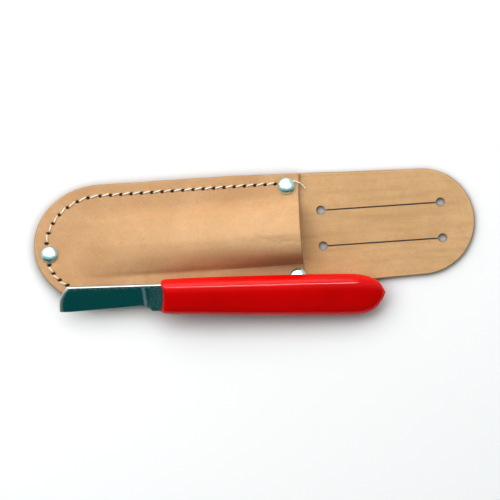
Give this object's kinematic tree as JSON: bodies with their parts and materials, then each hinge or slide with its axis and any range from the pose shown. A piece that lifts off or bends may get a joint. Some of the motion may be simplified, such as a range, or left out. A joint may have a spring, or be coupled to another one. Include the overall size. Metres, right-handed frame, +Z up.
{
  "type": "grafting knife",
  "caption": "Fixed-blade grafting knife with a straight-edged hollow-ground blade and a dipped vinyl handle, laid against its open-topped stitched and riveted leather belt sheath.",
  "frame": {"origin": "on the sheath's flat back face, in the middle of its belt slits", "axes": "+X along the sheath towards its belt end, +Z up from the surface that the sheath and knife lie on, +Y away from the knife"},
  "size_m": [0.2414, 0.0803, 0.0209],
  "materials": {
    "back_leather": "natural vegetable-tanned, smooth",
    "pocket_leather": "natural vegetable-tanned, wet-moulded",
    "thread": "waxed, twisted",
    "rivet_nickel": "bright nickel",
    "blade_steel": "polished, hollow ground",
    "handle_wood": "bare, under the coat",
    "pin_metal": "turned",
    "red_vinyl": "dipped, glossy"
  },
  "bodies": {
    "sheath": {"back_panel": "back_leather", "front_panel": "pocket_leather", "front_thread": "thread", "back_thread": "thread", "thread_tail": "thread", "toe_rivet_cap": "rivet_nickel", "toe_rivet_post": "rivet_nickel", "upper_rivet_cap": "rivet_nickel", "upper_rivet_post": "rivet_nickel", "lower_rivet_cap": "rivet_nickel", "lower_rivet_post": "rivet_nickel"},
    "knife": {"blade": "blade_steel", "front_handle_half": "handle_wood", "rear_handle_half": "handle_wood", "tang_pin_1": "pin_metal", "tang_pin_2": "pin_metal", "tang_pin_3": "pin_metal", "vinyl_coat": "red_vinyl"}
  },
  "joints": [
    {"name": "knife_lift", "type": "slide", "parent": "sheath", "child": "knife", "axis": [0, 0, 1], "range_m": [0, 0.12]}
  ]
}
